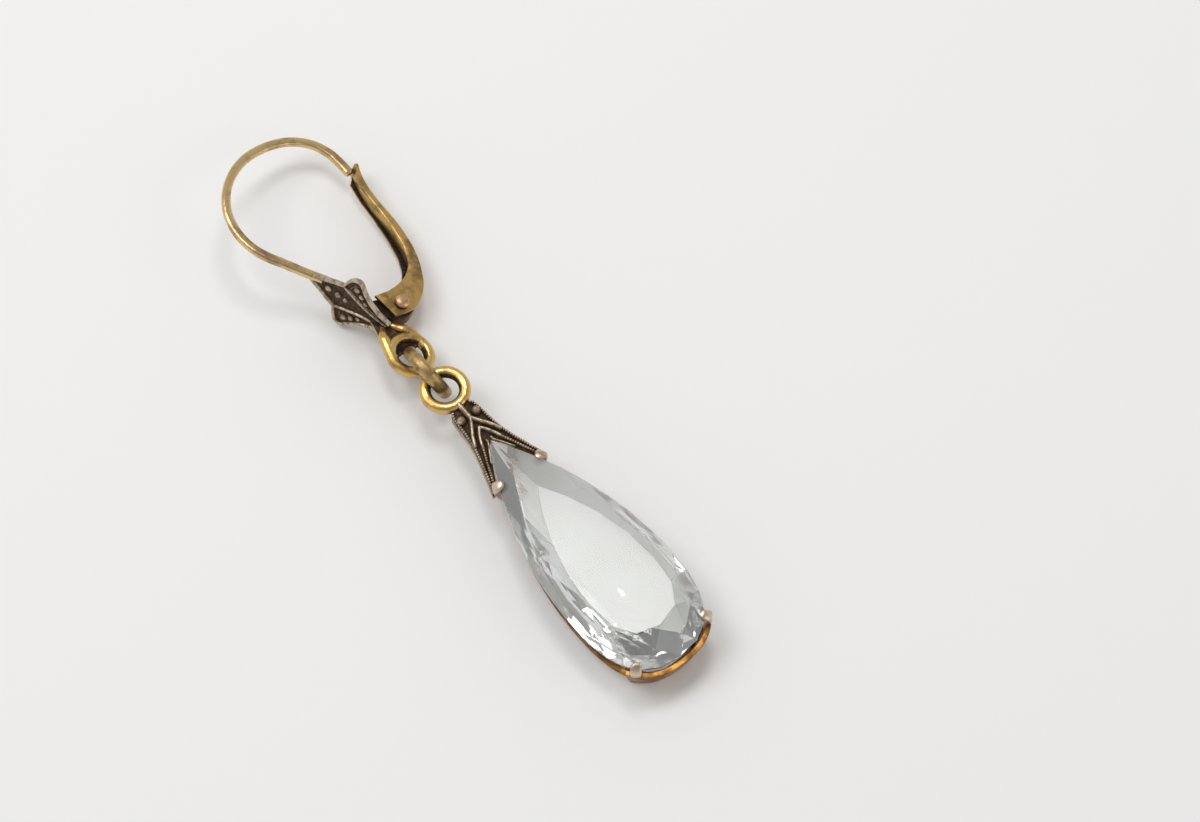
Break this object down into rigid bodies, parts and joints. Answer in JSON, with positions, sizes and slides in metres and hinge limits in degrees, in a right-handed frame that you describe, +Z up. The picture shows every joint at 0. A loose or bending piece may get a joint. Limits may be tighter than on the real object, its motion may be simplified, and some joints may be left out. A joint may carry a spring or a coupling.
{
  "type": "lever-back drop earring",
  "caption": "Lever-back drop earring lying on its side: ear wire with hinged lever and fan, jump ring, and a long pear-cut stone in a claw setting.",
  "frame": {"origin": "centre of the earring's box, on the surface it lies on", "axes": "+X from the ear wire to the round end of the drop, +Y to the lever's side, +Z up from the surface, towards the stone's table"},
  "size_m": [0.0506, 0.0114, 0.0057],
  "materials": {
    "gold": "worn yellow gold with tarnish, fan in oxidised white metal",
    "lever_gold": "worn yellow gold, dark inside the channel",
    "rivet": "reddish gold, rubbed",
    "ring_gold": "worn yellow gold",
    "setting": "white metal cap with dark recesses, yellow gold eye and collar",
    "stone": "polished, colourless to very pale aqua"
  },
  "bodies": {
    "root": {"ear_hook": "gold", "rivet": "rivet", "jump_ring": "ring_gold", "setting": "setting", "stone": "stone"},
    "lever": {"lever": "lever_gold"}
  },
  "joints": [
    {"name": "lever_hinge", "type": "hinge", "parent": "root", "child": "lever", "pos_m": [-0.00921, 0.00064, 0.00182], "axis": [-0.0941, -0.3208, -0.9424], "range_deg": [0, 55]}
  ]
}
